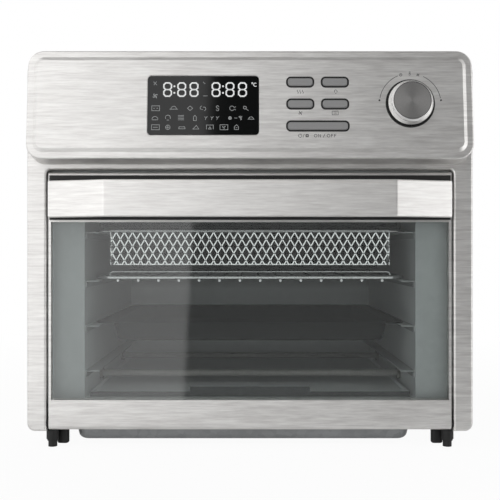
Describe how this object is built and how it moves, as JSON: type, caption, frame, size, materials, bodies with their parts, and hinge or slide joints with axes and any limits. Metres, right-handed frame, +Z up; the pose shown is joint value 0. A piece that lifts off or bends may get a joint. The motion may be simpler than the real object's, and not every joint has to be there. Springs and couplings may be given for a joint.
{
  "type": "toaster oven",
  "caption": "Countertop toaster oven with a leaning control panel, drop-down glass door, bent handle, mesh basket, wire rack and slide-out trays.",
  "frame": {"origin": "middle of the oven's box in plan, on the table under its feet", "axes": "+X to the right as seen from the front, +Y to the back, +Z up; the door faces -Y"},
  "size_m": [0.398, 0.375, 0.3522],
  "materials": {
    "casing_steel": "brushed along the width",
    "sheet_steel": "zinc-coated sheet, satin",
    "cavity_steel": "aluminium-coated sheet, satin",
    "black_plastic": "satin black",
    "plain_steel": "zinc plated",
    "door_glass": "clear with a light grey tint",
    "display_black": "gloss black",
    "boards": "green board",
    "button_silver": "silver, satin",
    "knob_chrome": "polished",
    "knob_face": "turned",
    "heater_tube": "dull grey oxide",
    "insulator_white": "unglazed",
    "fan_aluminium": "plain",
    "lamp_clear": "clear",
    "chromed_wire": "bright",
    "tray_enamel": "dark enamel",
    "crumb_aluminium": "plain"
  },
  "bodies": {
    "casing": {"outer_wrap": "casing_steel", "front_bezel": "casing_steel", "control_fascia": "casing_steel", "back_panel": "sheet_steel", "base_plate": "sheet_steel", "cavity_face": "sheet_steel", "fascia_backing": "sheet_steel", "cavity_left_wall": "cavity_steel", "cavity_right_wall": "cavity_steel", "cavity_floor": "cavity_steel", "cavity_back": "cavity_steel", "cavity_top": "cavity_steel", "rack_rails_left": "cavity_steel", "rack_rails_right": "cavity_steel", "fan_housing": "cavity_steel", "fan_cover": "cavity_steel", "front_left_foot": "black_plastic", "front_right_foot": "black_plastic", "rear_left_foot": "black_plastic", "rear_right_foot": "black_plastic", "hinge_covers": "black_plastic", "cord_gland": "black_plastic", "hinge_bushes": "black_plastic", "button_surrounds": "black_plastic", "encoder_body": "black_plastic", "display_module": "black_plastic", "casing_screws": "plain_steel", "temperature_probe": "plain_steel", "fan_motor": "plain_steel", "display_window": "display_black", "control_board": "boards", "power_board": "boards", "knob_bezel": "knob_chrome", "upper_heaters": "heater_tube", "lower_heaters": "heater_tube", "heater_insulators": "insulator_white", "oven_lamp": "lamp_clear", "lamp_lens": "lamp_clear"},
    "door": {"door_bottom_rail": "casing_steel", "door_top_rail": "casing_steel", "door_side_channels": "casing_steel", "door_glass": "door_glass", "door_handle": "casing_steel", "handle_backplate": "black_plastic", "hinge_pins": "plain_steel"},
    "crumb_drawer": {"crumb_tray": "crumb_aluminium"},
    "tray": {"baking_tray": "tray_enamel"},
    "rack": {"wire_rack": "chromed_wire"},
    "basket": {"basket_rim": "chromed_wire", "basket_mesh": "chromed_wire"},
    "knob": {"knob_skirt": "knob_chrome", "knob_cap": "knob_face", "encoder_shaft": "plain_steel"},
    "fan": {"fan_blade": "fan_aluminium", "fan_shaft": "plain_steel"},
    "preheat_key": {"preheat_button": "button_silver"},
    "light_key": {"light_button": "button_silver"},
    "air_fry_key": {"air_fry_button": "button_silver"},
    "bake_key": {"bake_button": "button_silver"},
    "start_key": {"start_button": "button_silver"}
  },
  "joints": [
    {"name": "door_hinge", "type": "hinge", "parent": "casing", "child": "door", "pos_m": [0, -0.1525, 0.0223], "axis": [1, 0, 0], "range_deg": [0, 85], "stiffness_Nm_per_rad": 0.7, "springref_deg": -11.46},
    {"name": "crumb_drawer_slide", "type": "slide", "parent": "casing", "child": "crumb_drawer", "axis": [0, -1, 0], "range_m": [0, 0.0492]},
    {"name": "tray_slide", "type": "slide", "parent": "casing", "child": "tray", "axis": [0, -1, 0], "range_m": [0, 0.1411]},
    {"name": "rack_slide", "type": "slide", "parent": "casing", "child": "rack", "axis": [0, -1, 0], "range_m": [0, 0.1856]},
    {"name": "basket_slide", "type": "slide", "parent": "casing", "child": "basket", "axis": [0, -1, 0], "range_m": [0, 0.1931]},
    {"name": "knob_turn", "type": "hinge", "parent": "casing", "child": "knob", "pos_m": [0.1398, -0.17247, 0.30465], "axis": [0, -0.9945, 0.1045], "continuous": true},
    {"name": "fan_spin", "type": "hinge", "parent": "casing", "child": "fan", "pos_m": [0, 0.0075, 0.24], "axis": [0, 0, 1], "continuous": true},
    {"name": "preheat_key_press", "type": "slide", "parent": "casing", "child": "preheat_key", "axis": [0, 0.9945, -0.1045], "range_m": [0, 0.001], "stiffness_N_per_m": 600, "springref_m": -0.0008},
    {"name": "light_key_press", "type": "slide", "parent": "casing", "child": "light_key", "axis": [0, 0.9945, -0.1045], "range_m": [0, 0.001], "stiffness_N_per_m": 600, "springref_m": -0.0008},
    {"name": "air_fry_key_press", "type": "slide", "parent": "casing", "child": "air_fry_key", "axis": [0, 0.9945, -0.1045], "range_m": [0, 0.001], "stiffness_N_per_m": 600, "springref_m": -0.0008},
    {"name": "bake_key_press", "type": "slide", "parent": "casing", "child": "bake_key", "axis": [0, 0.9945, -0.1045], "range_m": [0, 0.001], "stiffness_N_per_m": 600, "springref_m": -0.0008},
    {"name": "start_key_press", "type": "slide", "parent": "casing", "child": "start_key", "axis": [0, 0.9945, -0.1045], "range_m": [0, 0.001], "stiffness_N_per_m": 600, "springref_m": -0.0008}
  ],
  "couplings": [
    {"joint": "crumb_drawer_slide", "follows": "door_hinge", "m_per_rad": 0.033},
    {"joint": "tray_slide", "follows": "door_hinge", "m_per_rad": 0.095},
    {"joint": "rack_slide", "follows": "door_hinge", "m_per_rad": 0.125},
    {"joint": "basket_slide", "follows": "door_hinge", "m_per_rad": 0.13}
  ]
}
